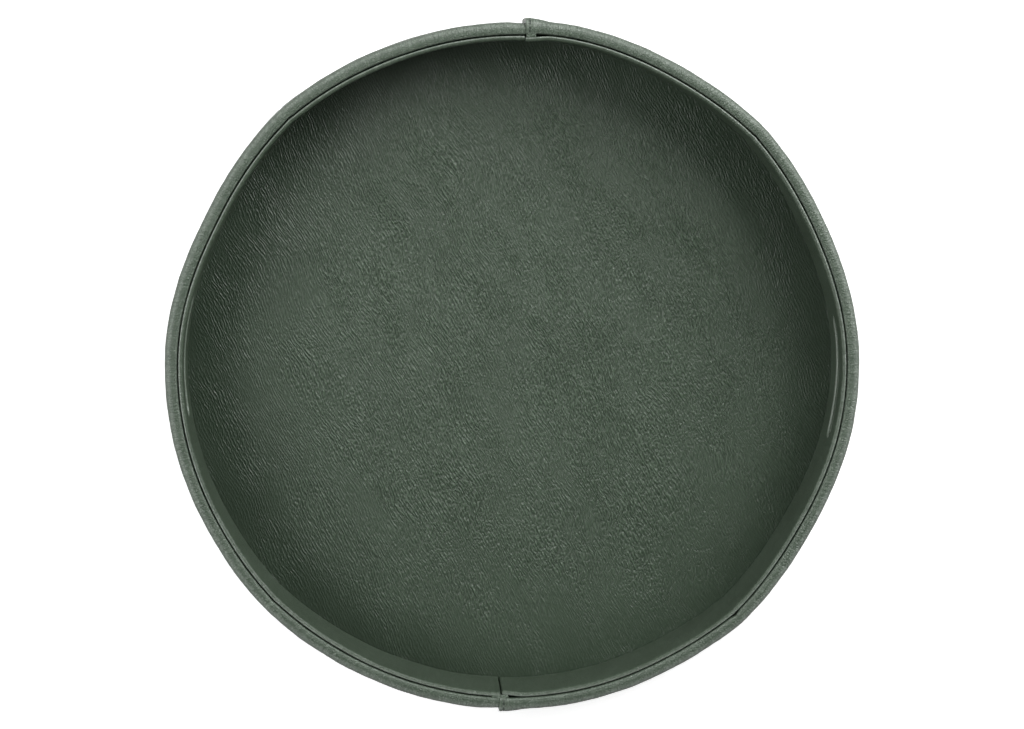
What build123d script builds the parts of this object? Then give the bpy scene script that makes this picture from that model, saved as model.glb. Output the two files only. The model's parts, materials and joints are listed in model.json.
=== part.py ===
from build123d import *
import math
import os

# Round folding dice tray: a leather-covered disc base and a separate hoop that
# stands on it. The hoop is a band of padded leather over board with a thinner
# lining inside it. It lifts off the base and folds flat at two sewn seams and
# four creases. Millimetres, +Z up, origin at the centre of the underside.
# +X is the side with the right handle slot, +Y is the back seam.

os.makedirs("parts", exist_ok=True)

# Overall sizes
tray_radius = 125.0
wall_height = 30.0

# Base disc, from the underside up
base_radius = 124.6
underside_thickness = 0.8
board_thickness = 2.4
foam_thickness = 0.9
skin_thickness = 0.7
base_height = underside_thickness + board_thickness + foam_thickness + skin_thickness
underside_inset = 0.6

# Hoop wall, from the outside in
hoop_gap = 0.2
hoop_bottom = base_height + hoop_gap
band_thickness = 4.5
band_skin = 0.9
band_edge_radius = 1.6
lining_gap = 0.2
lining_thickness = 1.6
lining_edge_radius = 0.7
lining_drop = 0.4
band_inner_radius = tray_radius - band_thickness
lining_outer_radius = band_inner_radius - lining_gap
lining_inner_radius = lining_outer_radius - lining_thickness

# Where the hoop folds. Each side is eight panels, counted from the back seam.
# Fold line 0 is the back seam, 2 and 6 are the creases and 8 is the front seam.
panels_a_side = 8
fold_lines = (0, 2, 6, 8)
end_panels = (0, 7)
slotted_panels = (3, 4)
magnet_panels = (1, 6)
crease_angle = 46.0
seam_width = 1.2
seam_skin = 1.4
joint_half_gap = 0.05
seam_half_angle = math.degrees(math.asin(seam_width / 2 / tray_radius))
gap_half_angle = math.degrees(joint_half_gap / tray_radius)
board_inset_at_fold = 1.5

# Handle slots
slot_length = 46.5
slot_height = 6.3
slot_centre_height = base_height + 17.6

# Folded hem on the outside of each seam, and the tab over the groove
hem_thickness = 0.8
hem_length = 9.0
hem_offset = 0.5
hem_edge_inset = 2.0
tab_inner_radius = 119.3
tab_outer_radius = 122.3
tab_thickness = 0.3
back_tab_width = 4.0
front_tab_width = 5.8

# Bar magnets that hold the hoop on the base
magnet_length = 12.0
magnet_width = 2.0
magnet_height = 2.0
magnet_radius = 122.75
magnet_depth_below_edge = 0.9


def save(shape, name):
    """Write one named piece."""
    shape.label = name
    export_step(shape, f"parts/{name}.step")


def disc(radius, bottom, height):
    """A flat round layer standing on z = bottom."""
    return Pos(0, 0, bottom) * Cylinder(
        radius, height, align=(Align.CENTER, Align.CENTER, Align.MIN)
    )


def section(inner, outer, bottom, top, corner):
    """A rounded wall section in the XZ plane."""
    width = outer - inner
    height = top - bottom
    shape = RectangleRounded(width, height, corner)
    return Plane.XZ * Pos((inner + outer) / 2, (bottom + top) / 2) * shape


def square_section(inner, outer, bottom, top):
    """A square-cornered wall section in the XZ plane."""
    shape = Rectangle(outer - inner, top - bottom)
    return Plane.XZ * Pos((inner + outer) / 2, (bottom + top) / 2) * shape


def arc_solid(profile, start, end):
    """The profile swept round the tray's axis from start to end, in degrees."""
    return Rot(0, 0, start) * revolve(profile, Axis.Z, end - start)


def slot_cutter(side, grow):
    """The long rounded hole of a handle, larger all round by grow."""
    height = slot_height + 2 * grow
    length = slot_length + 2 * grow
    outline = SlotOverall(length, height)
    depth = tray_radius / 2
    tool = extrude(Plane.YZ * outline, depth, both=True)
    return Pos(side * tray_radius, 0, slot_centre_height) * tool


def bar_magnet(angle, bottom):
    """One bar magnet lying along the wall."""
    bar = Box(
        magnet_width,
        magnet_length,
        magnet_height,
        align=(Align.CENTER, Align.CENTER, Align.MIN),
    )
    return Rot(0, 0, angle) * Pos(magnet_radius, 0, bottom) * bar


def panel_angles():
    """Angles of the fold lines down one side, from the back seam to the front."""
    seam = 90.0 - seam_half_angle
    gusset = (seam - crease_angle) / 2
    handle = crease_angle / 2
    upper = [seam, seam - gusset, crease_angle, crease_angle - handle]
    return upper + [0.0] + [-angle for angle in reversed(upper)]


def plan_point(radius, angle):
    """A point of the plan at this radius and angle."""
    turn = math.radians(angle)
    return (radius * math.cos(turn), radius * math.sin(turn))


def hem(at_back):
    """The turned edge that laps over the seam, thinning away from it."""
    start = math.degrees((seam_width / 2 + hem_offset) / tray_radius)
    end = math.degrees(hem_length / tray_radius)
    low = hoop_bottom + hem_edge_inset
    high = hoop_bottom + wall_height - hem_edge_inset
    root = tray_radius - band_skin / 2
    half_way_thickness = hem_thickness * 0.7
    corners = [
        plan_point(root, 90 - start),
        plan_point(tray_radius + hem_thickness, 90 - start),
        plan_point(tray_radius + half_way_thickness, 90 - (start + end) / 2),
        plan_point(tray_radius, 90 - end),
        plan_point(root, 90 - end),
    ]
    outline = make_face(Polyline(*corners, close=True))
    flap = extrude(Pos(0, 0, low) * outline, high - low)
    return flap if at_back else mirror(flap, about=Plane.XZ)


def seam_tab(at_back):
    """The small tongue of leather that bridges the groove beside a seam."""
    width = back_tab_width if at_back else front_tab_width
    start = math.degrees((seam_width / 2 + hem_offset) / tray_radius)
    end = start + math.degrees(width / tray_radius)
    top = hoop_bottom + wall_height
    profile = square_section(tab_inner_radius, tab_outer_radius, top - tab_thickness, top)
    tongue = arc_solid(profile, 90 - end, 90 - start)
    return tongue if at_back else mirror(tongue, about=Plane.XZ)


def wall_panel(side, index, angles):
    """One panel of the hoop: padded skin, board and lining. side is +1 or -1."""
    name = "right" if side > 0 else "left"
    high = angles[index] - gap_half_angle
    low = angles[index + 1] + gap_half_angle
    start, end = (low, high) if side > 0 else (180 - high, 180 - low)
    inset = math.degrees(board_inset_at_fold / tray_radius)
    board_high = high - (inset if index in fold_lines else 0)
    board_low = low + (inset if index + 1 in fold_lines else 0)
    board_start = board_low if side > 0 else 180 - board_high
    board_end = board_high if side > 0 else 180 - board_low

    top = hoop_bottom + wall_height
    band = section(band_inner_radius, tray_radius, hoop_bottom, top, band_edge_radius)
    skin = arc_solid(band, start, end)
    core = square_section(
        band_inner_radius + band_skin,
        tray_radius - band_skin,
        hoop_bottom + band_skin,
        top - band_skin,
    )
    board = arc_solid(core, board_start, board_end)
    lining_profile = section(
        lining_inner_radius,
        lining_outer_radius,
        hoop_bottom,
        top - lining_drop,
        lining_edge_radius,
    )
    lining = arc_solid(lining_profile, start, end)
    if index in slotted_panels:
        board = board - slot_cutter(side, band_skin)
        skin = skin - slot_cutter(side, 0)
        lining = lining - slot_cutter(side, 0)
    skin = skin - board
    if side > 0 and index in end_panels:
        skin = skin + hem(index == 0) + seam_tab(index == 0)
    if index in magnet_panels:
        middle = (start + end) / 2
        magnet = bar_magnet(middle, hoop_bottom + magnet_depth_below_edge)
        board = board - magnet
        save(magnet, f"{name}_hoop_magnet_{index + 1}")
    save(skin, f"{name}_band_{index + 1}")
    save(board, f"{name}_board_{index + 1}")
    save(lining, f"{name}_lining_{index + 1}")


def seam_strip():
    """The thin leather web that joins the two halves of the hoop at the back."""
    half = math.degrees((seam_width / 2 - joint_half_gap) / tray_radius)
    profile = square_section(
        tray_radius - seam_skin,
        tray_radius,
        hoop_bottom,
        hoop_bottom + wall_height,
    )
    return arc_solid(profile, 90 - half, 90 + half)


def magnet_angles(angles):
    """Angles of the four magnets, two a side."""
    back = (angles[1] + angles[2]) / 2
    return [back, -back, 180 - back, 180 + back]


def make_base(angles):
    """The disc base, from the underside up."""
    board_bottom = underside_thickness
    board_top = board_bottom + board_thickness
    foam_top = board_top + foam_thickness
    core_radius = base_radius - skin_thickness
    magnets = [
        bar_magnet(angle, board_top - magnet_height) for angle in magnet_angles(angles)
    ]
    board = disc(core_radius, board_bottom, board_thickness)
    for magnet in magnets:
        board = board - magnet
    outer = disc(base_radius, underside_thickness, base_height - underside_thickness)
    outer = fillet(outer.edges().group_by(Axis.Z)[-1], skin_thickness)
    outer_skin = outer - disc(core_radius, board_bottom, foam_top - board_bottom)
    save(disc(base_radius - underside_inset, 0, underside_thickness), "base_underside")
    save(board, "base_board")
    save(disc(core_radius, board_top, foam_thickness), "base_foam")
    save(outer_skin, "rolling_surface")
    save(Compound(children=magnets), "base_magnets")


fold_angles = panel_angles()
make_base(fold_angles)
for side in (1, -1):
    for index in range(panels_a_side):
        wall_panel(side, index, fold_angles)
back_web = seam_strip()
save(back_web, "back_seam_web")
save(mirror(back_web, about=Plane.XZ), "front_seam_web")
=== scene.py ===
import json
import math

import bmesh
import bpy
import numpy as np
from mathutils import Matrix, Vector, noise


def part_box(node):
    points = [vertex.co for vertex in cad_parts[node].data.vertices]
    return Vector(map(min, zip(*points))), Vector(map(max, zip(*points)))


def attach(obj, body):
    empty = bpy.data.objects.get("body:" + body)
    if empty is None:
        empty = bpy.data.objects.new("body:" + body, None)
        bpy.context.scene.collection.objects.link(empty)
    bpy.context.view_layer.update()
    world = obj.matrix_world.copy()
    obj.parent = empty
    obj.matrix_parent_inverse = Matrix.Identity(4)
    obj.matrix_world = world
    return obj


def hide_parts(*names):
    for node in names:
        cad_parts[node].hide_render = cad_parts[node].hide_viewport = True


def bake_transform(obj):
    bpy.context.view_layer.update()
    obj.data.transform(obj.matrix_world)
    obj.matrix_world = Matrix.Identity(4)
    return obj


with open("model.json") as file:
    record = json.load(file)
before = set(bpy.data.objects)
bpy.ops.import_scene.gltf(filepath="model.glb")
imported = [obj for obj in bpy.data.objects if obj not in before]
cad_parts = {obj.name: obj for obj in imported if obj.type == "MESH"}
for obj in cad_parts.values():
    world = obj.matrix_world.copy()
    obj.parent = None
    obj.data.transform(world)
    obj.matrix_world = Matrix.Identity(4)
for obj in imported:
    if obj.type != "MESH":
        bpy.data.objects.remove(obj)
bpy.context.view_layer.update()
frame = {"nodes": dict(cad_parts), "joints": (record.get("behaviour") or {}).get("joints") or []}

MM = 0.001

# ---------------------------------------------------------------- sizes from the CAD, in mm
joints = {j["name"]: j for j in frame["joints"]}
SIDE_JOINTS = (
    "back_seam_fold", "back_gusset_flex", "back_crease", "back_handle_flex", "handle_middle_flex",
    "front_handle_flex", "front_crease", "front_gusset_flex",
)


def joint_angle(name):
    x, y, _ = joints[name]["pos_m"]
    return math.degrees(math.atan2(y, x))


# The fold lines of one side as angles from the handle's centre line, from the back seam to the front seam.
LINES = [joint_angle("right_" + n) for n in SIDE_JOINTS]
LINES.append(-LINES[0])
SEAMS = (LINES[0], LINES[8])
CREASES = (2, 6)
MIDDLES = [(LINES[i] + LINES[i + 1]) / 2 for i in range(8)]
LENGTHS_PER_SIDE, SLOTTED_LENGTH = 7, 4

band_low, band_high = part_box("right_band_5")
_, lining_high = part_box("right_lining_5")
floor_low, floor_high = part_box("rolling_surface")
under_low, under_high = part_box("base_underside")
R_OUT = band_high.x / MM
HOOP_LOW = band_low.z / MM
HOOP_TOP = band_high.z / MM
HOOP_MIDDLE, HOOP_HALF = (HOOP_LOW + HOOP_TOP) / 2, (HOOP_TOP - HOOP_LOW) / 2
LINING_TOP = lining_high.z / MM
BAND = 4.5
R_BAND = R_OUT - BAND
LINING = 1.6
GROOVE = 0.45
R_LINING = R_BAND - GROOVE - LINING
FLOOR_TOP = floor_high.z / MM
FLOOR_LOW = floor_low.z / MM
R_BASE = floor_high.x / MM
SLOT_LENGTH, SLOT_HEIGHT = 46.5, 6.3
SLOT_Z = FLOOR_TOP + 17.6
SLOT_MARGIN_UP, SLOT_MARGIN_ALONG = 1.7, 1.4     # from the slot to the edge of the patch round it
SLOT_LOW, SLOT_HIGH = SLOT_Z - SLOT_HEIGHT / 2 - SLOT_MARGIN_UP, SLOT_Z + SLOT_HEIGHT / 2 + SLOT_MARGIN_UP

# ---------------------------------------------------------------- small helpers


def smooth(t):
    t = np.clip(t, 0.0, 1.0)
    return t * t * (3 - 2 * t)


def wave(x, y, z, scale, seed=0.0):
    """Smooth noise from -1 to 1 at a point in millimetres."""
    return noise.noise(Vector((x / scale + seed, y / scale - seed, z / scale + 2.3 * seed)))


def arc_length(degrees):
    """Millimetres along the hoop's outer circle."""
    return math.radians(degrees) * R_OUT


def arc_angle(length):
    """Degrees of the hoop's outer circle."""
    return math.degrees(length / R_OUT)


def new_mesh(name, verts, faces, uvs=None, sharp=()):
    """A smooth-shaded mesh object from millimetre vertices; uvs are per vertex, in metres."""
    mesh = bpy.data.meshes.new(name)
    mesh.from_pydata([tuple(c * MM for c in v) for v in verts], [], faces)
    mesh.validate()
    mesh.polygons.foreach_set("use_smooth", [True] * len(mesh.polygons))
    if uvs is not None:
        layer = mesh.uv_layers.new(name="grain")
        index = np.zeros(len(mesh.loops), int)
        mesh.loops.foreach_get("vertex_index", index)
        layer.data.foreach_set("uv", np.array(uvs, np.float32)[index].ravel())
    if sharp:
        for e in mesh.edges:
            if e.vertices[0] in sharp and e.vertices[1] in sharp:
                e.use_edge_sharp = True
    mesh.update()
    obj = bpy.data.objects.new(name, mesh)
    bpy.context.scene.collection.objects.link(obj)
    bm = bmesh.new()
    bm.from_mesh(mesh)
    bmesh.ops.recalc_face_normals(bm, faces=bm.faces)
    bm.to_mesh(mesh)
    bm.free()
    mesh.update()
    return obj


def finish_piece(obj, material, body=None, replaces=None):
    """Gives a piece its material, hides the CAD node it replaces and ties it to its body."""
    obj.data.materials.append(material)
    if replaces:
        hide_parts(replaces)
    if body:
        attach(obj, body)


def arc(cx, cz, r, start, end, n):
    """Points of an arc, without its last point."""
    steps = np.linspace(math.radians(start), math.radians(end), n, endpoint=False)
    return [(cx + r * math.cos(a), cz + r * math.sin(a)) for a in steps]


# ---------------------------------------------------------------- the hoop's plan shape
# How far the hoop stands out of a true circle, in mm: it is pushed out at the folds and
# at the handles and sags in between, more on the left than on the right.
SAG_RIGHT = [
    [(90, 0.1), (82, 0.3), (62, -0.5), (46, 0.5)],
    [(46, 0.5), (27, -0.6), (7, 0.7), (-8, 0.5), (-28, -0.9), (-46, 0.7)],
    [(-46, 0.7), (-58, -0.2), (-72, 0.0), (-90, 0.2)],
]
SAG_LEFT = [
    [(90, -0.3), (68, -0.6), (46, 0.5)],
    [(46, 0.5), (30, -1.0), (22, -1.2), (4, 0.6), (-14, 0.6), (-32, 0.3), (-46, 0.8)],
    [(-46, 0.8), (-62, 0.0), (-90, 0.0)],
]


def spline(points, a):
    """A smooth curve through points of falling angle (Catmull-Rom)."""
    xs = [p[0] for p in points]
    ys = [p[1] for p in points]
    a = min(max(a, xs[-1]), xs[0])
    i = 0
    while i < len(xs) - 2 and a < xs[i + 1]:
        i += 1

    def slope(k):
        if k == 0:
            return (ys[1] - ys[0]) / (xs[1] - xs[0])
        if k == len(xs) - 1:
            return (ys[-1] - ys[-2]) / (xs[-1] - xs[-2])
        return (ys[k + 1] - ys[k - 1]) / (xs[k + 1] - xs[k - 1])

    h = xs[i + 1] - xs[i]
    t = (a - xs[i]) / h
    m0, m1 = slope(i) * h, slope(i + 1) * h
    return (
        (2 * t**3 - 3 * t**2 + 1) * ys[i]
        + (t**3 - 2 * t**2 + t) * m0
        + (-2 * t**3 + 3 * t**2) * ys[i + 1]
        + (t**3 - t**2) * m1
    )


def sag(side, a):
    """The hoop's departure from a circle at this angle."""
    sections = SAG_RIGHT if side > 0 else SAG_LEFT
    for points in sections:
        if a >= points[-1][0] - 1e-9:
            return spline(points, a)
    return sections[-1][-1][1]


def on_hoop(side, a, r, z):
    """A point at this angle and radius, on the right or, mirrored, on the left."""
    t = math.radians(a)
    return (side * r * math.cos(t), r * math.sin(t), z)


# ---------------------------------------------------------------- the wall's surface, all in mm
# A length after a size says how far along the wall from the fold line the size fades out.
HEM_BACK, HEM_FRONT, HEM_LENGTH = 1.15, 0.80, 10.0         # the right half's turned hem stands out
HEM_DRAWN_IN, HEM_DRAWN_IN_LENGTH = 0.30, 3.0              # its inner face is drawn in
HEM_LIFT, HEM_LIFT_LENGTH, HEM_LIFT_HEIGHT = 0.35, 4.5, 4  # its top stands up
PINCH_LENGTH, PINCH_IN, PINCH_DOWN, PINCH_HEIGHT = 1.1, 0.22, 0.2, 2   # under the row of stitches
UNDERLAP, UNDERLAP_LENGTH = 0.45, 9.0                      # the left half's end is pressed in under the hem
CREASE_IN, CREASE_IN_LENGTH = 0.13, 0.9
CREASE_DOWN, CREASE_DOWN_HEIGHT = 0.22, 1.5
CREASE_NICK, DEEP_CREASE_NICK, NICK_LENGTH = 0.2, 0.5, 1.5
PUCKER, PUCKER_LENGTH, PUCKER_START, PUCKER_PITCH = 0.16, 7.0, 1.5, 0.9
LINING_CREASE_OUT, LINING_CREASE_OUT_LENGTH = 0.12, 1.2
LINING_CREASE_DOWN, LINING_CREASE_DOWN_LENGTH, LINING_CREASE_HEIGHT = 0.25, 1.4, 1.5
LINING_STEP, LINING_STEP_LENGTH, LINING_STEP_HEIGHT = 0.8, 9.0, 9      # the right lining laps the left one


def near_top(z, top, height):
    """0 well below the wall's top, 1 at it."""
    return smooth((z - top + height) / height)


def band_point(side, a, x, z, out):
    """Where a point of the band goes. x runs from the groove to the outside, out is 0 to 1 across it."""
    r = R_BAND + x + sag(side, a)
    u = arc_length(90 - a)
    for seam in SEAMS:
        d = abs(arc_length(a - seam))
        if side > 0:
            hem = (1 - smooth(d / HEM_LENGTH)) * (HEM_BACK if seam > 0 else HEM_FRONT)
            r += hem * out - HEM_DRAWN_IN * (1 - smooth(d / HEM_DRAWN_IN_LENGTH)) * (1 - out)
            z += HEM_LIFT * (1 - smooth(d / HEM_LIFT_LENGTH)) * near_top(z, HOOP_TOP, HEM_LIFT_HEIGHT)
            inward = (seam - a) * math.copysign(math.radians(R_OUT), seam)
            if 0.0 < inward < PINCH_LENGTH:
                pinch = math.sin(math.pi * inward / PINCH_LENGTH)
                r -= PINCH_IN * pinch * out
                z -= PINCH_DOWN * pinch * near_top(z, HOOP_TOP, PINCH_HEIGHT)
        else:
            r -= UNDERLAP * out * (1 - smooth(d / UNDERLAP_LENGTH))
    for k in CREASES:
        d = abs(arc_length(a - LINES[k]))
        near = math.exp(-(d / CREASE_IN_LENGTH) ** 2)
        r -= CREASE_IN * near * out
        z -= CREASE_DOWN * near * near_top(z, HOOP_TOP, CREASE_DOWN_HEIGHT) * (1 - 0.6 * out)
        nick = DEEP_CREASE_NICK if side > 0 and k == CREASES[-1] else CREASE_NICK
        r += nick * math.exp(-(d / NICK_LENGTH) ** 2) * (1 - out)
        pucker = math.exp(-d / PUCKER_LENGTH) * smooth(d / PUCKER_START)
        r += PUCKER * pucker * math.sin(z * PUCKER_PITCH + 2 * wave(u, z, 3, 6.0)) * out
    soft = 0.16 * wave(u, 0.35 * z, 1.0 + 7 * side, 9.0) + 0.07 * wave(u, 0.3 * z, 5.0 + 7 * side, 2.6)
    r += soft * (0.3 + 0.7 * out)
    z += 0.12 * wave(u, 0, 2 + side, 14.0) * near_top(z, HOOP_TOP, 3)
    return on_hoop(side, a, r, z)


def lining_point(side, a, x, z, out):
    """Where a point of the lining goes."""
    r = R_LINING + x + sag(side, a)
    u = arc_length(90 - a)
    for k in CREASES:
        d = abs(arc_length(a - LINES[k]))
        r += LINING_CREASE_OUT * math.exp(-(d / LINING_CREASE_OUT_LENGTH) ** 2)
        down = LINING_CREASE_DOWN * math.exp(-(d / LINING_CREASE_DOWN_LENGTH) ** 2)
        z -= down * near_top(z, LINING_TOP, LINING_CREASE_HEIGHT)
    if side > 0:
        for seam in SEAMS:
            d = abs(arc_length(a - seam))
            step = LINING_STEP * (1 - smooth(d / LINING_STEP_LENGTH))
            r -= step * near_top(z, LINING_TOP, LINING_STEP_HEIGHT)
    soft = 0.14 * wave(u, 0.6 * z, 21 + 5 * side, 11.0) + 0.05 * wave(u, 0.5 * z, 25 + 5 * side, 3.0)
    r += (1 - out) * soft
    z += 0.14 * wave(u, 0, 31 + side, 12.0) * near_top(z, LINING_TOP, 3)
    return on_hoop(side, a, r, z)


def face_levels(low, high):
    """Heights of the rows up a face, with rows along the edge of the slot's patch."""
    below = np.linspace(low, SLOT_LOW, 11)[:-1]
    patch = np.linspace(SLOT_LOW, SLOT_HIGH, 9)[:-1]
    above = np.linspace(SLOT_HIGH, high, 7)
    return list(below) + list(patch) + list(above)


def profile(width, low, top, r_in, r_out, r_foot, swell, lip, base_v):
    """The loop round a wall: points (x, z, out), the rows of its faces and what its slot and UV map need."""
    start = low + r_foot
    inner = face_levels(start, top - r_in)
    outer = face_levels(start, top - r_out)
    pts = [(0.0, z) for z in inner[:-1]]
    top_first = len(pts)
    pts += arc(r_in, top - r_in, r_in, 180, 90, 6)
    flat = width - r_in - r_out
    for k in range(4):
        t = k / 4
        pts.append((r_in + flat * t, top + 0.06 * math.sin(math.pi * t)))
    pts += arc(width - r_out, top - r_out, r_out, 90, 0, 8)
    outer_first = len(pts)
    pts += [(width, z) for z in reversed(outer)][:-1]
    outer_last = len(pts)
    pts += arc(width - r_foot, low + r_foot, r_foot, 0, -90, 4)
    pts += [(width - r_foot - (width - 2 * r_foot) * k / 2, low) for k in range(2)]
    pts += arc(r_foot, low + r_foot, r_foot, -90, -180, 4)
    loop = []
    for x, z in pts:
        out = min(max(x / width, 0.0), 1.0)
        bulge = belly(swell, z, (low + top) / 2, (top - low) / 2)
        loop.append((x + bulge * (2 * out - 1) * (1 if out > 0.5 else 0.4), z, out))
    return {
        "loop": loop, "width": width, "swell": swell, "lip": lip, "base_v": base_v,
        "faces": {"inner": (0, inner), "outer": (outer_first, list(reversed(outer)))},
        "top_rows": (top_first, outer_last),
    }


def belly(swell, z, middle, half):
    """How far a padded face swells at this height."""
    return swell * max(0.0, 1 - ((z - middle) / half) ** 2)


LINING_V = 100.0    # mm added to the lining's UV coordinates round the section
band_profile = profile(BAND, HOOP_LOW, HOOP_TOP, 1.1, 2.5, 0.9, 0.12, 0.85, 0.0)
lining_profile = profile(LINING, HOOP_LOW, LINING_TOP, 1.0, 0.35, 0.5, 0.0, 0.6, LINING_V)


def loop_normals(loop):
    """Outward normals of the loop's points in the section plane."""
    p = np.array([(x, z) for x, z, _ in loop])
    tangent = np.roll(p, -1, 0) - np.roll(p, 1, 0)
    n = np.stack([-tangent[:, 1], tangent[:, 0]], 1)
    n /= np.linalg.norm(n, axis=1)[:, None] + 1e-12
    if ((p - p.mean(0)) * n).sum() < 0:
        n = -n
    return n


FINE_COLUMNS, FINE_REACH = (0.0, 0.25, 0.5, 0.8, 1.1, 1.5, 2.0), 2.3    # mm from a crease


def columns(start, end, step, fine_at=None):
    """Angles from start down to end, closer together near a crease."""
    count = max(2, int(round(arc_length(start - end) / step)))
    angles = list(np.linspace(start, end, count + 1))
    if fine_at is not None:
        angles = [a for a in angles if abs(a - fine_at) >= arc_angle(FINE_REACH)]
        for d in FINE_COLUMNS:
            angles += [fine_at + arc_angle(d), fine_at - arc_angle(d)]
    return sorted(set(round(a, 6) for a in angles), reverse=True)


END_INSETS = ((0.0, 0.42), (0.1, 0.2), (0.25, 0.07), (0.45, 0.0))    # how a free end is rounded off
LEFT_U = 600    # mm added to the left half's UV coordinates along the wall
SLOT_RINGS = ("half", 90, 65, 42, 20, 0)    # halfway to the lip, then the lip's angles in degrees
FIRST_LIP_RING = 2


def nearest(values, target):
    return min(range(len(values)), key=lambda i: abs(values[i] - target))


def slot_patches(shape, angles):
    """The rows and columns of each face that the slot's patch takes up."""
    margin = arc_angle(SLOT_LENGTH / 2 + SLOT_MARGIN_ALONG)
    c0, c1 = nearest(angles, margin), nearest(angles, -margin)
    patches = {}
    for key, (first, levels) in shape["faces"].items():
        i0, i1 = nearest(levels, SLOT_LOW), nearest(levels, SLOT_HIGH)
        patches[key] = (first + min(i0, i1), first + max(i0, i1), c0, c1)
    return patches


def slot_mesh(side, angles, shape, place, patches, lengths, verts, uvs, faces):
    """Fills each patch round to the slot's rounded lip and joins the two lips. Returns the lips' faces."""
    rows = len(shape["loop"])
    lip = shape["lip"]
    reach = SLOT_LENGTH / 2 - SLOT_HEIGHT / 2
    lip_faces = []
    last_rings = {}
    for key, (r0, r1, c0, c1) in patches.items():
        first, levels = shape["faces"][key]
        inner = key == "inner"
        cols = list(range(c0, c1 + 1))
        rows_up = list(range(r0, r1 + 1) if inner else range(r1, r0 - 1, -1))
        path = [(c, rows_up[0]) for c in cols]
        path += [(c1, r) for r in rows_up[1:]]
        path += [(c, rows_up[-1]) for c in reversed(cols[:-1])]
        path += [(c0, r) for r in reversed(rows_up[1:-1])]
        rim = []
        for c, r in path:
            u, z = -arc_length(angles[c]), levels[r - first]
            centre = min(max(u, -reach), reach)
            n = Vector((u - centre, z - SLOT_Z))
            gap = n.length - SLOT_HEIGHT / 2
            n.normalize()
            rim.append((Vector((centre, SLOT_Z)) + n * (SLOT_HEIGHT / 2), n, gap))
        x_face = 0.0 if inner else shape["width"]
        out, inward, sign = (0.0, 1, 1) if inner else (1.0, -1, -1)
        swell_way = -0.4 if inner else 1
        lowest = min(r0, r1)
        rings = [[c * rows + r for c, r in path]]
        for mode in SLOT_RINGS:
            ring = []
            for edge, n, gap in rim:
                if mode == "half":
                    d, depth = (lip + gap) / 2, 0.0
                else:
                    t = math.radians(mode)
                    d, depth = lip * (1 - math.cos(t)), lip * (1 - math.sin(t))
                p = edge + n * d
                bulge = belly(shape["swell"], p.y, HOOP_MIDDLE, HOOP_HALF) * swell_way
                a = -arc_angle(p.x)
                verts.append(place(side, a, x_face + bulge + inward * depth, p.y, out))
                across = (p.y - levels[lowest - first]) * sign
                uvs.append(wall_uv(side, a, lengths[lowest] + across + depth + shape["base_v"]))
                ring.append(len(verts) - 1)
            rings.append(ring)
        for number, (ra, rb) in enumerate(zip(rings[:-1], rings[1:])):
            if number >= FIRST_LIP_RING:
                lip_faces += range(len(faces), len(faces) + len(ra))
            join_rings(faces, ra, rb)
        last_rings[key] = rings[-1]
    join_rings(faces, last_rings["outer"], last_rings["inner"])
    return lip_faces


def join_rings(faces, ra, rb):
    """Quads between two rings of the same number of vertices."""
    for i in range(len(ra)):
        j = (i + 1) % len(ra)
        faces.append((ra[i], rb[i], rb[j], ra[j]))


def wall_uv(side, a, v):
    """UV coordinates in metres, along the wall and round its section."""
    return ((arc_length(90 - a) + (LEFT_U if side < 0 else 0)) * MM, v * MM)


def wall_strip(name, side, angles, shape, place, free_start=False, free_end=False, slotted=False):
    """One length of the wall as a closed tube, with rounded free ends and, if slotted, the handle slot."""
    loop = shape["loop"]
    rows = len(loop)
    normals = loop_normals(loop)
    insets = {}
    for free, end, way in ((free_start, angles[0], -1), (free_end, angles[-1], 1)):
        if free:
            for d, inset in END_INSETS:
                insets[round(end + way * arc_angle(d), 6)] = inset
    angles = sorted(set(round(a, 6) for a in angles) | set(insets), reverse=True)
    lengths = np.cumsum([0.0] + [math.dist(loop[i][:2], loop[i + 1][:2]) for i in range(rows - 1)])
    verts, uvs, faces = [], [], []
    for a in angles:
        inset = insets.get(a, 0.0)
        for k, (x, z, out) in enumerate(loop):
            verts.append(place(side, a, x - inset * normals[k][0], z - inset * normals[k][1], out))
            uvs.append(wall_uv(side, a, lengths[k] + shape["base_v"]))
    count = len(angles)
    patches = slot_patches(shape, angles) if slotted else {}
    for c in range(count - 1):
        for k in range(rows):
            if any(c0 <= c < c1 and r0 <= k < r1 for r0, r1, c0, c1 in patches.values()):
                continue
            n = (k + 1) % rows
            a0, a1 = c * rows + k, c * rows + n
            faces.append((a0, a1, a1 + rows, a0 + rows))
    sharp = set()
    for c, free in ((0, free_start), (count - 1, free_end)):
        ring = [c * rows + k for k in range(rows)]
        faces.append(tuple(ring if c == 0 else reversed(ring)))
        if not free:
            sharp.update(ring)
    lip_faces = slot_mesh(side, angles, shape, place, patches, lengths, verts, uvs, faces) if slotted else []
    return new_mesh(name, verts, faces, uvs, sharp), lip_faces


# ---------------------------------------------------------------- procedural materials


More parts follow.
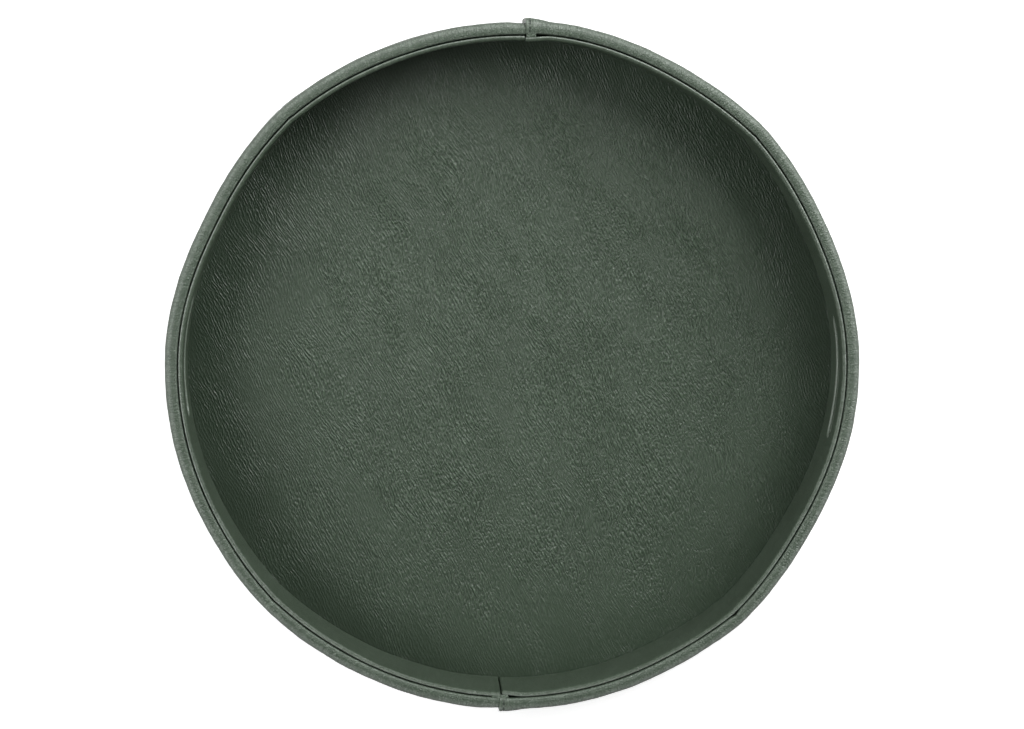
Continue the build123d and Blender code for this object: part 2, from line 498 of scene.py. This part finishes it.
class Nodes:
    """A short way to write a material's node tree."""

    def __init__(self, name):
        self.mat = bpy.data.materials.new(name)
        self.mat.use_nodes = True
        self.tree = self.mat.node_tree
        self.tree.nodes.clear()

    def add(self, kind, **values):
        node = self.tree.nodes.new(kind)
        for key, value in values.items():
            if hasattr(node, key) and key not in node.inputs:
                setattr(node, key, value)
            else:
                self.put(node.inputs[key], value)
        return node

    def put(self, socket, value):
        if isinstance(value, bpy.types.NodeSocket):
            self.tree.links.new(value, socket)
        else:
            socket.default_value = value

    def math(self, operation, a, b=0.5):
        node = self.add("ShaderNodeMath", operation=operation)
        self.put(node.inputs[0], a)
        self.put(node.inputs[1], b)
        return node.outputs[0]

    def vector_math(self, operation, a, b=None):
        node = self.add("ShaderNodeVectorMath", operation=operation)
        self.put(node.inputs[0], a)
        if b is not None:
            self.put(node.inputs[1], b)
        return node

    def weighted(self, *terms):
        """The sum of value, weight pairs."""
        total = None
        for value, weight in terms:
            part = self.math("MULTIPLY", value, weight)
            total = part if total is None else self.math("ADD", total, part)
        return total

    def mix(self, factor, a, b):
        node = self.add("ShaderNodeMix", data_type="RGBA", Factor=factor)
        self.put(node.inputs[6], a)
        self.put(node.inputs[7], b)
        return node.outputs[2]

    def spread(self, value, low, high, out_low=0.0, out_high=1.0):
        node = self.add("ShaderNodeMapRange", Value=value)
        for key, limit in (("From Min", low), ("From Max", high), ("To Min", out_low), ("To Max", out_high)):
            node.inputs[key].default_value = limit
        return node.outputs["Result"]

    def coords(self, kind, scale, turn=0.0):
        """Texture coordinates from the UV map or the object, turned about Z, then scaled per metre."""
        return self.turned(self.tree.nodes.new("ShaderNodeTexCoord").outputs[kind], scale, turn)

    def turned(self, vector, scale, turn):
        """Coordinates turned about Z, then scaled."""
        spun = self.add("ShaderNodeMapping", Vector=vector, Rotation=(0, 0, math.radians(turn)))
        return self.add("ShaderNodeMapping", Vector=spun.outputs[0], Scale=scale).outputs[0]

    def wander(self, vector, scale, reach):
        """Coordinates pushed aside by a slow noise, so that straight patterns bend."""
        slow = self.add("ShaderNodeTexNoise", Vector=vector, Scale=scale, Detail=1.0)
        centred = self.vector_math("SUBTRACT", slow.outputs["Color"], (0.5, 0.5, 0.5))
        sized = self.vector_math("SCALE", centred.outputs[0])
        sized.inputs["Scale"].default_value = reach
        return self.vector_math("ADD", vector, sized.outputs[0]).outputs[0]

    def noise(self, vector, scale=1.0, detail=2.0, roughness=0.5, distortion=0.0):
        return self.add("ShaderNodeTexNoise", Vector=vector, Scale=scale, Detail=detail,
                        Roughness=roughness, Distortion=distortion).outputs[0]

    def waves(self, vector, scale, distortion, detail_scale):
        node = self.add("ShaderNodeTexWave", Vector=vector, Scale=scale, Distortion=distortion, Detail=1.0)
        node.inputs["Detail Scale"].default_value = detail_scale
        return node.outputs["Fac"]

    def cells(self, vector, scale):
        """Distance to the edge of the nearest cell."""
        return self.add("ShaderNodeTexVoronoi", feature="DISTANCE_TO_EDGE", Vector=vector,
                        Scale=scale).outputs["Distance"]

    def bump(self, height, distance, strength):
        return self.add("ShaderNodeBump", Strength=strength, Distance=distance, Height=height).outputs[0]

    def finish(self, colour, rough, normal=None, **extra):
        shader = self.tree.nodes.new("ShaderNodeBsdfPrincipled")
        self.put(shader.inputs["Base Color"], colour)
        self.put(shader.inputs["Roughness"], rough)
        if normal is not None:
            self.put(shader.inputs["Normal"], normal)
        for key, value in extra.items():
            self.put(shader.inputs[key.replace("_", " ")], value)
        out = self.tree.nodes.new("ShaderNodeOutputMaterial")
        self.tree.links.new(shader.outputs[0], out.inputs[0])
        return self.mat


PER_MM = (1000.0, 1000.0, 1000.0)   # texture coordinates in millimetres
FLOOR_LOW_TONE, FLOOR_HIGH_TONE = (0.018, 0.031, 0.0175, 1), (0.074, 0.106, 0.072, 1)
FLOOR_RELIEF = 0.00062              # metres from the foot of a ripple to its crest
RIPPLE_TURN = -28.0                 # degrees from the tray's depth to the run of the leather's ripples
RIPPLE_FADE = (0.075, 0.118)        # metres from the centre, where the ripples start and end fading
RIPPLE_MEAN = 0.35
# painted shade: the floor's colour is darkened towards the wall, standing in for the wall's shadow
PAINTED_RIM_SHADE = (0.098, 0.122)          # metres from the centre, where the leather darkens towards the wall


def floor_leather():
    """Satin faux leather drawn into fine parallel ripples, strong in drifts and faint between them, with
    painted highlight on the ripple crests and painted shade towards the wall.
    """
    m = Nodes("rolling_leather")
    plain = m.coords("Object", PER_MM)
    bent = m.wander(m.coords("Object", (1.0, 1.0, 1.0)), 30.0, 0.008)
    lines = m.waves(m.turned(bent, (1000.0, 330.0, 300.0), RIPPLE_TURN), 0.29, 5.0, 1.9)
    break_noise = m.noise(m.turned(bent, (1100.0, 430.0, 300.0), RIPPLE_TURN), 1.0, 1.0, 0.5, 0.2)
    breaks = m.spread(m.spread(break_noise, 0.36, 0.62), 0.0, 1.0, 0.28, 1.0)
    lines = m.math("MULTIPLY", m.math("POWER", lines, 1.6), breaks)
    second_noise = m.noise(m.turned(bent, (2300.0, 900.0, 300.0), RIPPLE_TURN + 14.0), 1.0, 0.0, 0.4, 0.03)
    ripples = m.weighted((lines, 0.60), (m.spread(second_noise, 0.34, 0.66), 0.40))

    drift_noise = m.noise(m.turned(bent, (105.0, 36.0, 60.0), RIPPLE_TURN - 6.0), 1.0, 1.0, 0.5, 0.2)
    drifts = m.spread(m.spread(drift_noise, 0.28, 0.70), 0.0, 1.0, 0.36, 1.0)
    off_centre = m.vector_math("LENGTH", m.coords("Object", (1.0, 1.0, 0.0))).outputs["Value"]
    fade = m.spread(off_centre, *RIPPLE_FADE, 1.0, 0.28)
    strength = m.math("MULTIPLY", drifts, fade)

    pores = m.noise(plain, 1.9, 2.0, 0.55)
    relief = m.math("ADD", m.math("MULTIPLY", ripples, strength), m.math("MULTIPLY", pores, 0.13))
    swing = m.math("MULTIPLY", m.math("SUBTRACT", ripples, RIPPLE_MEAN), strength)
    patch = m.noise(plain, 0.03, 2.0, 0.5, 0.3)
    # painted shade: the floor's colour darkens towards the wall, where the wall's shadow falls
    rim = m.spread(off_centre, *PAINTED_RIM_SHADE, 1.0, 0.0)
    # painted highlight: ripple crests are coloured paler, standing in for glints on them, and rippled drifts
    # are lightened to offset the relief's own shading
    tone = m.weighted((swing, 1.9), (patch, 0.34), (strength, 0.20), (rim, 0.30))
    colour = m.mix(m.spread(tone, -0.07, 1.31), FLOOR_LOW_TONE, FLOOR_HIGH_TONE)
    rough = m.spread(swing, -0.3, 0.4, 0.42, 0.28)
    return m.finish(colour, rough, m.bump(relief, FLOOR_RELIEF, 1.0), Specular_IOR_Level=0.38)


# the colour of the painted highlights along the leather's rounded edges
PAINTED_HIGHLIGHT_TONE = (0.27, 0.31, 0.27, 1)
# Each painted highlight line: mm round the section from the foot of the inner face, its reach and its
# strength.
BAND_PAINTED_HIGHLIGHTS = ((31.9, 1.3, 0.75), (28.9, 0.55, 0.5))
LINING_PAINTED_HIGHLIGHTS = ((LINING_V + 30.0, 0.45, 0.95),)


def wall_leather(name, tones, rough_range, painted_highlight_lines, grain, height):
    """Satin faux leather with a fine pebble grain, soft creases across the wall and painted highlights as
    paler lines round the section.
    """
    m = Nodes(name)
    plain = m.coords("UV", PER_MM)
    pebble = m.spread(m.cells(plain, 0.95 * grain), 0.0, 0.34)
    pores = m.noise(plain, 2.2 * grain, 3.0, 0.6)
    folds = m.noise(m.coords("UV", (520.0, 95.0, 1000.0)), 1.0, 3.0, 0.55, 0.5)
    fold_lines = m.spread(m.math("ABSOLUTE", m.math("SUBTRACT", folds, 0.5)), 0.0, 0.12)
    relief = m.weighted((pebble, 0.5), (pores, 0.5), (fold_lines, 0.35))
    patch = m.noise(plain, 0.06, 3.0, 0.55)
    colour = m.mix(m.spread(m.weighted((relief, 0.65), (patch, 0.6)), 0.51, 1.21), *tones)
    round_section = m.add("ShaderNodeSeparateXYZ", Vector=plain).outputs[1]
    # painted highlight: paler lines along the rounded edges where the lamps catch them
    painted_highlight = 0.0
    for highlight_at, highlight_reach, highlight_strength in painted_highlight_lines:
        off_line = m.math("ABSOLUTE", m.math("SUBTRACT", round_section, highlight_at))
        painted_highlight = m.math("MAXIMUM", m.spread(off_line, 0.0, highlight_reach, highlight_strength, 0.0), painted_highlight)
    painted_highlight = m.math("MULTIPLY", painted_highlight, m.spread(relief, 0.3, 0.9, 0.4, 1.0))
    colour = m.mix(painted_highlight, colour, PAINTED_HIGHLIGHT_TONE)
    rough = m.math("SUBTRACT", m.spread(pores, 0.25, 0.75, *rough_range), m.math("MULTIPLY", painted_highlight, 0.10))
    return m.finish(colour, rough, m.bump(relief, height, 0.9), Specular_IOR_Level=0.5)


def cloth_backing():
    """Matt non-slip cloth with a close plain weave."""
    m = Nodes("underside_fabric")
    plain = m.coords("Object", PER_MM)
    split = m.add("ShaderNodeSeparateXYZ", Vector=plain)
    threads = [m.math("SINE", m.math("MULTIPLY", split.outputs[k], 6.6)) for k in (0, 1)]
    weave = m.math("MULTIPLY", *threads)
    fuzz = m.noise(plain, 2.2, 3.0, 0.6)
    relief = m.math("ADD", m.math("MULTIPLY", weave, 0.5), fuzz)
    patch = m.noise(plain, 0.05, 3.0, 0.5)
    tone = m.spread(m.math("ADD", m.math("MULTIPLY", weave, 0.25), patch), 0.2, 0.9)
    colour = m.mix(tone, (0.012, 0.015, 0.013, 1), (0.034, 0.040, 0.036, 1))
    rough = m.spread(fuzz, 0.2, 0.8, 0.82, 0.97)
    return m.finish(colour, rough, m.bump(relief, 0.00012, 0.8), Specular_IOR_Level=0.25)


def grey_board():
    """Raw grey board: pressed fibres and specks."""
    m = Nodes("board")
    plain = m.coords("Object", PER_MM)
    fibres = m.noise(plain, 0.8, 5.0, 0.65, 1.2)
    specks = m.spread(m.noise(plain, 2.6, 2.0, 0.5), 0.62, 0.7, 0.0, 0.6)
    colour = m.mix(m.spread(fibres, 0.3, 0.7), (0.26, 0.23, 0.18, 1), (0.40, 0.36, 0.30, 1))
    colour = m.mix(specks, colour, (0.12, 0.10, 0.08, 1))
    return m.finish(colour, m.spread(fibres, 0.3, 0.7, 0.85, 0.95), m.bump(fibres, 0.0001, 0.7))


def soft_foam():
    """Dark closed-cell foam."""
    m = Nodes("foam")
    plain = m.coords("Object", PER_MM)
    pits = m.spread(m.cells(plain, 2.4), 0.0, 0.3)
    tone = m.noise(plain, 0.2, 3.0, 0.5)
    colour = m.mix(m.math("MULTIPLY", pits, tone), (0.02, 0.02, 0.02, 1), (0.10, 0.10, 0.10, 1))
    return m.finish(colour, m.spread(tone, 0.3, 0.7, 0.85, 0.95), m.bump(pits, 0.0001, 0.8))


def nickel():
    """Nickel-plated magnet with fine scuffs."""
    m = Nodes("magnet")
    scuffs = m.noise(m.coords("Object", (1000.0, 180.0, 1000.0), 20), 2.0, 4.0, 0.6)
    colour = m.mix(m.spread(scuffs, 0.3, 0.7), (0.50, 0.50, 0.50, 1), (0.66, 0.66, 0.67, 1))
    rough = m.spread(scuffs, 0.3, 0.7, 0.22, 0.42)
    return m.finish(colour, rough, m.bump(scuffs, 0.00002, 0.6), Metallic=1.0)


def thread():
    """Twisted sewing thread, a shade darker than the leather."""
    m = Nodes("thread")
    twist = m.noise(m.coords("Object", PER_MM), 5.0, 2.0, 0.5)
    colour = m.mix(twist, (0.020, 0.030, 0.022, 1), (0.050, 0.066, 0.052, 1))
    return m.finish(colour, m.spread(twist, 0.3, 0.7, 0.6, 0.75), m.bump(twist, 0.00005, 0.8))


BAND_TONES = (0.060, 0.086, 0.059, 1), (0.124, 0.163, 0.122, 1)
LINING_TONES = (0.052, 0.074, 0.050, 1), (0.100, 0.134, 0.098, 1)
# a paler copy of the lining leather for the slot lips: painted highlight where the lamps catch the lips
LIP_HIGHLIGHT_TONES = (0.150, 0.185, 0.148, 1), (0.250, 0.290, 0.245, 1)
mat_floor = floor_leather()
mat_band = wall_leather("band_leather", BAND_TONES, (0.27, 0.42), BAND_PAINTED_HIGHLIGHTS, 1.0, 0.00036)
mat_lining = wall_leather("lining_leather", LINING_TONES, (0.28, 0.42), LINING_PAINTED_HIGHLIGHTS, 1.2, 0.00014)
mat_lip_highlight = wall_leather("lip_highlight_leather", LIP_HIGHLIGHT_TONES, (0.24, 0.36), (), 1.2, 0.00010)
mat_cloth = cloth_backing()
mat_board = grey_board()
mat_foam = soft_foam()
mat_magnet = nickel()
mat_thread = thread()

# ---------------------------------------------------------------- the hoop
STEP = 0.8
# How far each end of the wall runs on past its seam's fold line, at the back and at the front.
END_PAST_PIVOT = {
    ("right", "band"): (1.15, 1.15), ("left", "band"): (0.3, 0.3),
    ("right", "lining"): (1.0, 0.3), ("left", "lining"): (0.1, 0.4),
}
WALL_PARTS = (
    ("band", band_profile, band_point, mat_band),
    ("lining", lining_profile, lining_point, mat_lining),
)


def cad_nodes(word, part, j):
    """The CAD nodes that a length of the wall stands for. The board is inside the band."""
    parts = ("band", "board") if part == "band" else ("lining",)
    panels = (j, j + 1) if j == LENGTHS_PER_SIDE else (j,)
    return [f"{word}_{p}_{k}" for k in panels for p in parts]


def wall_length(side, word, part, shape, place, mat, j):
    """One length of band or lining, from the middle of panel j to the middle of the next one."""
    fold = LINES[j]
    free_start, free_end = j == 1, j == LENGTHS_PER_SIDE
    past_back, past_front = (arc_angle(d) for d in END_PAST_PIVOT[word, part])
    start = SEAMS[0] + past_back if free_start else MIDDLES[j - 1]
    stop = SEAMS[1] - past_front if free_end else MIDDLES[j]
    angles = columns(start, stop, STEP, fold if j in CREASES else None)
    name = f"{word}_{part}_length_{j}"
    strip, lip_faces = wall_strip(name, side, angles, shape, place, free_start, free_end, j == SLOTTED_LENGTH)
    finish_piece(strip, mat)
    # the slot's lips get the paler copy of the leather, a painted highlight
    if lip_faces:
        strip.data.materials.append(mat_lip_highlight)
        for face in lip_faces:
            strip.data.polygons[face].material_index = 1
    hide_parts(*cad_nodes(word, part, j))
    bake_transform(strip)


for side, word in ((1, "right"), (-1, "left")):
    for j in range(1, LENGTHS_PER_SIDE + 1):
        for wall_part in WALL_PARTS:
            wall_length(side, word, *wall_part, j)

# Stitches down the folded hem at each seam, on the right half.
STITCH, STITCH_PITCH, STITCH_RADIUS = 1.9, 2.7, 0.22
STITCH_IN = 0.55                    # from the seam's fold line
STITCH_PROUD = 0.05
STITCH_START, STITCH_END = 0.6, 0.5
STITCH_TILT = (0.3, 0.2, 0.93)      # never along a stitch, so that its section can be set square


def capsule(path, radius, sides=8):
    """Verts and faces of a thread along a path, with pinched ends."""
    verts, faces = [], []
    n = len(path)
    for i, p in enumerate(path):
        d = (path[min(i + 1, n - 1)] - path[max(i - 1, 0)]).normalized()
        side_way = d.cross(Vector(STITCH_TILT)).normalized()
        up = d.cross(side_way)
        r = radius * (0.35 if i in (0, n - 1) else 1.0)
        for k in range(sides):
            t = 2 * math.pi * k / sides
            verts.append(p + (side_way * math.cos(t) + up * math.sin(t)) * r)
    for i in range(n - 1):
        for k in range(sides):
            m = (k + 1) % sides
            faces.append((i * sides + k, i * sides + m, (i + 1) * sides + m, (i + 1) * sides + k))
    faces.append(tuple(reversed(range(sides))))
    faces.append(tuple((n - 1) * sides + k for k in range(sides)))
    return verts, faces


def stitch_row(name, seam, body):
    """A row of stitches over the band's top and down its outer face."""
    a = seam - math.copysign(arc_angle(STITCH_IN), seam)
    t = math.radians(a)
    top_first, outer_last = band_profile["top_rows"]
    rows = slice(top_first + 3, outer_last)
    normals = loop_normals(band_profile["loop"])[rows]
    path = []
    for (x, z, out), n in zip(band_profile["loop"][rows], normals):
        outward = Vector((n[0] * math.cos(t), n[0] * math.sin(t), n[1]))
        path.append(Vector(band_point(1, a, x, z, out)) + outward * STITCH_PROUD)
    lengths = [0.0]
    for p, q in zip(path[:-1], path[1:]):
        lengths.append(lengths[-1] + (q - p).length)

    def at(s):
        i = int(np.searchsorted(lengths, s)) - 1
        i = min(max(i, 0), len(path) - 2)
        f = (s - lengths[i]) / max(lengths[i + 1] - lengths[i], 1e-9)
        return path[i].lerp(path[i + 1], f)

    verts, faces = [], []
    s = STITCH_START
    while s + STITCH < lengths[-1] - STITCH_END:
        v, f = capsule([at(s + STITCH * k / 6) for k in range(7)], STITCH_RADIUS)
        faces += [tuple(i + len(verts) for i in face) for face in f]
        verts += v
        s += STITCH_PITCH
    finish_piece(new_mesh(name, verts, faces), mat_thread, body)


stitch_row("back_hem_stitches", SEAMS[0], "right_panel_1")
stitch_row("front_hem_stitches", SEAMS[1], "right_panel_8")


def sheet_faces(w, h):
    """Faces of a closed thin sheet: two layers of h rows by w columns and the rim between them."""
    faces = []
    for layer in (0, 1):
        o = layer * w * h
        for i in range(h - 1):
            for k in range(w - 1):
                faces.append((o + i * w + k, o + i * w + k + 1, o + (i + 1) * w + k + 1, o + (i + 1) * w + k))
    border = list(range(w)) + [i * w + w - 1 for i in range(1, h)]
    border += [(h - 1) * w + k for k in range(w - 2, -1, -1)] + [i * w for i in range(h - 2, 0, -1)]
    for i in range(len(border)):
        a, b = border[i], border[(i + 1) % len(border)]
        faces.append((a, b, b + w * h, a + w * h))
    return faces


WEB_HALF_WIDTH, WEB_INSET, WEB_THICKNESS, WEB_SHORT = 0.57, 0.08, 0.32, 0.9


def web(name, seam, body, node):
    """The leather web that joins the two halves: a thin strip that lies on the left half's end."""
    across = np.linspace(-WEB_HALF_WIDTH, WEB_HALF_WIDTH, 9)
    heights = np.linspace(HOOP_LOW + WEB_SHORT, HOOP_TOP - WEB_SHORT, 48)
    sign = 1 if seam > 0 else -1
    verts = []
    for layer in (0.0, 1.0):
        for z in heights:
            for x in across:
                r = R_OUT + sag(-1, 90) - WEB_INSET - WEB_THICKNESS * layer
                r += 0.04 * wave(x, z, 40 * sign, 2.5)
                verts.append((x, sign * r, z))
    uvs = [((v[0] + 5) * MM, v[2] * MM) for v in verts]
    obj = new_mesh(name, verts, sheet_faces(len(across), len(heights)), uvs)
    finish_piece(obj, mat_band, body, node)


web("back_web", SEAMS[0], "back_seam", "back_seam_web")
web("front_web", SEAMS[1], "right_panel_8", "front_seam_web")

TONGUE_ACROSS, TONGUE_IN, TONGUE_THICKNESS = 2.1, 0.95, 0.5
TONGUE_DOWN, TONGUE_CROWN, TONGUE_CLIMB = 0.38, 0.16, 0.20
TONGUE_STEP_AT, TONGUE_STEP_LENGTH, TONGUE_STEP_IN = -2.2, 1.2, 0.3    # where it climbs onto the right half


def tongue(name, seam, before, after, body):
    """The small folded tongue of leather that closes the groove at a seam."""
    sign = 1 if seam > 0 else -1
    nu, nv = 14, 10
    verts, uvs = [], []
    for layer in (0, 1):
        for i in range(nu + 1):
            d = -before + (before + after) * i / nu
            a = seam - sign * arc_angle(d)
            edge = math.sin(math.pi * i / nu) ** 0.5
            swap = smooth((d - TONGUE_STEP_AT) / TONGUE_STEP_LENGTH)
            ring = sag(1, min(max(a, SEAMS[1]), SEAMS[0])) * swap + sag(-1, sign * 90) * (1 - swap)
            for k in range(nv + 1):
                t = k / nv
                x = TONGUE_ACROSS * t - TONGUE_IN
                rise = TONGUE_CROWN * math.sin(math.pi * t) ** 0.7 * edge + TONGUE_CLIMB * swap * t
                z = HOOP_TOP - TONGUE_DOWN + rise + 0.05 * wave(d, x, 50 * sign, 1.1)
                z -= TONGUE_THICKNESS * layer
                verts.append(on_hoop(1, a, R_BAND + x + ring - TONGUE_STEP_IN * swap, z))
                uvs.append(((d + 700) * MM, x * MM))
    finish_piece(new_mesh(name, verts, sheet_faces(nv + 1, nu + 1), uvs), mat_band, body)


tongue("back_tongue", SEAMS[0], 0.7, 3.0, "right_panel_1")
tongue("front_tongue", SEAMS[1], 4.2, 2.2, "right_panel_8")

# ---------------------------------------------------------------- the base
FLOOR_CELLS = 290
FLAT_R = R_BASE - 1.0
FLOOR_HIDE_START, FLOOR_HIDE_LENGTH = 3, 4      # the floor goes flat before it reaches the wall
FLOOR_EDGE = [    # radius and height, from the top round the turned edge to the glued margin underneath
    (R_BASE - 0.62, FLOOR_TOP - 0.08), (R_BASE - 0.3, FLOOR_TOP - 0.28), (R_BASE - 0.08, FLOOR_TOP - 0.62),
    (R_BASE, FLOOR_TOP - 1.1), (R_BASE + 0.04, (FLOOR_TOP + FLOOR_LOW) / 2), (R_BASE, FLOOR_LOW + 0.6),
    (R_BASE - 0.12, FLOOR_LOW + 0.25), (R_BASE - 0.45, FLOOR_LOW + 0.02), (R_BASE - 1.2, FLOOR_LOW - 0.05),
    (R_BASE - 8.0, FLOOR_LOW - 0.05),
]


def rolling_surface():
    """The leather floor and its turned edge as one closed skin with real undulation and wrinkles."""
    n = FLOOR_CELLS
    verts, faces = [], []
    turn = math.radians(RIPPLE_TURN - 90)
    along = (math.cos(turn), math.sin(turn))
    across = (-along[1], along[0])
    for i in range(n + 1):
        for k in range(n + 1):
            p, q = 2 * i / n - 1, 2 * k / n - 1
            x = p * math.sqrt(1 - q * q / 2) * FLAT_R
            y = q * math.sqrt(1 - p * p / 2) * FLAT_R
            s, c = x * along[0] + y * along[1], x * across[0] + y * across[1]
            wrinkle = abs(wave(s * 0.28, c, 60.0, 2.6)) * 0.10 + abs(wave(s * 0.35, c, 64.0, 5.5)) * 0.10
            broad = 0.12 * wave(x, y, 70.0, 24.0) + 0.05 * wave(x, y, 74.0, 9.0)
            shown = float(smooth((FLAT_R - FLOOR_HIDE_START - math.hypot(x, y)) / FLOOR_HIDE_LENGTH))
            z = FLOOR_TOP - 0.02 + (min(0.0, broad - 0.04) - 0.11 + wrinkle) * shown
            verts.append((x, y, min(z, FLOOR_TOP + 0.12)))

    def at(i, k):
        return i * (n + 1) + k

    for i in range(n):
        for k in range(n):
            faces.append((at(i, k), at(i + 1, k), at(i + 1, k + 1), at(i, k + 1)))
    ring = [at(i, 0) for i in range(n)] + [at(n, k) for k in range(n)]
    ring += [at(i, n) for i in range(n, 0, -1)] + [at(0, k) for k in range(n, 0, -1)]
    turns = [math.atan2(verts[v][1], verts[v][0]) for v in ring]
    previous = ring
    for r, z in FLOOR_EDGE:
        current = []
        for t in turns:
            rr = r + 0.06 * wave(40 * math.cos(t), 40 * math.sin(t), z, 3.0)
            current.append(len(verts))
            verts.append((rr * math.cos(t), rr * math.sin(t), z))
        join_rings(faces, previous, current)
        previous = current
    faces.append(tuple(previous))
    obj = new_mesh("rolling_leather", verts, faces)
    finish_piece(obj, mat_floor, "base", "rolling_surface")


rolling_surface()

CLOTH_SPOKES, CLOTH_RINGS = 240, 70
CLOTH_FLAT = 0.97       # share of the radius within which the cloth sags


def underside():
    """The cloth on the underside, with a rolled rim and a slight sag between glue spots."""
    radius = under_high.x / MM
    bottom = under_low.z / MM
    top = under_high.z / MM - 0.06
    rings = [(radius * t, bottom, True) for t in np.linspace(0.02, 0.985, CLOTH_RINGS)]
    rings += [(radius - 0.5, bottom + 0.03, False), (radius - 0.15, bottom + 0.18, False),
              (radius, bottom + 0.42, False), (radius - 0.1, top - 0.05, False), (radius - 0.4, top, False)]
    verts, faces = [], []
    for r, z, soft in rings:
        for k in range(CLOTH_SPOKES):
            t = 2 * math.pi * k / CLOTH_SPOKES
            x, y = r * math.cos(t), r * math.sin(t)
            lift = max(0.10 + 0.10 * wave(x, y, 90.0, 14.0), 0.0) if soft and r < radius * CLOTH_FLAT else 0.0
            verts.append((x, y, z + lift))
    for i in range(len(rings) - 1):
        inner = [i * CLOTH_SPOKES + k for k in range(CLOTH_SPOKES)]
        join_rings(faces, inner, [v + CLOTH_SPOKES for v in inner])
    faces.append(tuple(range(CLOTH_SPOKES)))
    faces.append(tuple((len(rings) - 1) * CLOTH_SPOKES + k for k in reversed(range(CLOTH_SPOKES))))
    obj = new_mesh("underside_cloth", verts, faces)
    finish_piece(obj, mat_cloth, "base", "base_underside")


underside()

CARRIED_OVER = {"base_board": mat_board, "base_foam": mat_foam, "base_magnets": mat_magnet}
CARRIED_OVER.update({f"{word}_hoop_magnet_{k}": mat_magnet for word in ("right", "left") for k in (2, 7)})
for node, mat in CARRIED_OVER.items():
    materials = frame["nodes"][node].data.materials
    materials.clear()
    materials.append(mat)

# ---------------------------------------------------------------- stage, light and camera
STAGE_GLOW, STAGE_GLOW_ON_PART = 0.62, 0.12     # as the camera sees it, and as it lights the part
AMBIENT = 0.05
STAGE_SIZE, STAGE_DROP = 6.0, 0.0004
stage_nodes = Nodes("stage")
tint = stage_nodes.noise(stage_nodes.coords("Object", (3.0, 3.0, 3.0)), 1.0, 2.0)
pale = stage_nodes.mix(tint, (0.93, 0.93, 0.93, 1), (0.95, 0.95, 0.95, 1))
seen = stage_nodes.add("ShaderNodeLightPath").outputs["Is Camera Ray"]
glow = stage_nodes.spread(seen, 0.0, 1.0, STAGE_GLOW_ON_PART, STAGE_GLOW)
stage_mat = stage_nodes.finish(pale, 0.9, Emission_Color=(1, 1, 1, 1), Emission_Strength=glow)
bpy.ops.mesh.primitive_plane_add(size=STAGE_SIZE, location=(0, 0, -STAGE_DROP))
stage = bpy.context.object
stage.name = "stage_floor"
stage.data.materials.append(stage_mat)

world = bpy.data.worlds.new("studio")
world.use_nodes = True
tree = world.node_tree
background = tree.nodes["Background"]
background.inputs[0].default_value = (1, 1, 1, 1)
paths = tree.nodes.new("ShaderNodeLightPath")
level = tree.nodes.new("ShaderNodeMapRange")
level.inputs["To Min"].default_value = AMBIENT
level.inputs["To Max"].default_value = 1.0
tree.links.new(paths.outputs["Is Camera Ray"], level.inputs["Value"])
tree.links.new(level.outputs["Result"], background.inputs[1])
bpy.context.scene.world = world


def lamp(name, kind, location, target, power, **settings):
    data = bpy.data.lights.new(name, kind)
    data.energy = power
    for key, value in settings.items():
        setattr(data, key, value)
    obj = bpy.data.objects.new(name, data)
    obj.location = location
    obj.rotation_mode = "QUATERNION"
    obj.rotation_quaternion = (Vector(target) - Vector(location)).to_track_quat("-Z", "Y")
    bpy.context.scene.collection.objects.link(obj)


for name, location, target, size, size_y, power in (
    ("key", (0.75, 0.75, 0.9), (0, 0, 0), 0.9, 0.9, 15.0),
    ("left", (-1.0, 0.0, 0.9), (0, 0, 0), 0.8, 0.8, 10.8),
    ("back", (0.0, 1.0, 0.9), (0, 0, 0), 0.8, 0.8, 3.9),
    ("front", (0.1, -1.0, 0.8), (0, 0, 0), 0.8, 0.8, 1.0),
    ("low right", (1.05, 0.75, 0.40), (0, 0, 0.02), 0.5, 0.3, 3.8),
):
    lamp(name, "AREA", location, target, power, shape="RECTANGLE", size=size, size_y=size_y)
lamp("overhead", "SPOT", (0.05, -0.16, 1.9), (0, 0, 0), 20.5,
     shadow_soft_size=0.04, spot_size=math.radians(7.2), spot_blend=1.0)

# The camera looks almost straight down, turned a little about the vertical. Metres from the tray's centre.
CAMERA_TURN = math.radians(2.2)
CAMERA_OFFSET = (-0.044, 0.112)
CAMERA_HEIGHT = 1.167
AIM = (-0.0006, 0.0017)
LENS, SENSOR = 111.3, 36.0


def turned(x, y):
    c, s = math.cos(CAMERA_TURN), math.sin(CAMERA_TURN)
    return (x * c - y * s, x * s + y * c)


camera_data = bpy.data.cameras.new("camera")
camera_data.sensor_width = SENSOR
camera_data.lens = LENS
camera = bpy.data.objects.new("camera", camera_data)
bpy.context.scene.collection.objects.link(camera)
eye = Vector((*turned(*CAMERA_OFFSET), CAMERA_HEIGHT + FLOOR_TOP * MM))
aim = Vector((*turned(*AIM), HOOP_TOP * MM))
back = (eye - aim).normalized()
right = Vector((*turned(0.0, 1.0), 0.0)).cross(back).normalized()
up = back.cross(right).normalized()
camera.rotation_mode = "QUATERNION"
camera.rotation_quaternion = Matrix((right, up, back)).transposed().to_quaternion()
camera.location = eye
bpy.context.scene.camera = camera
bpy.context.scene.view_settings.view_transform = "Standard"
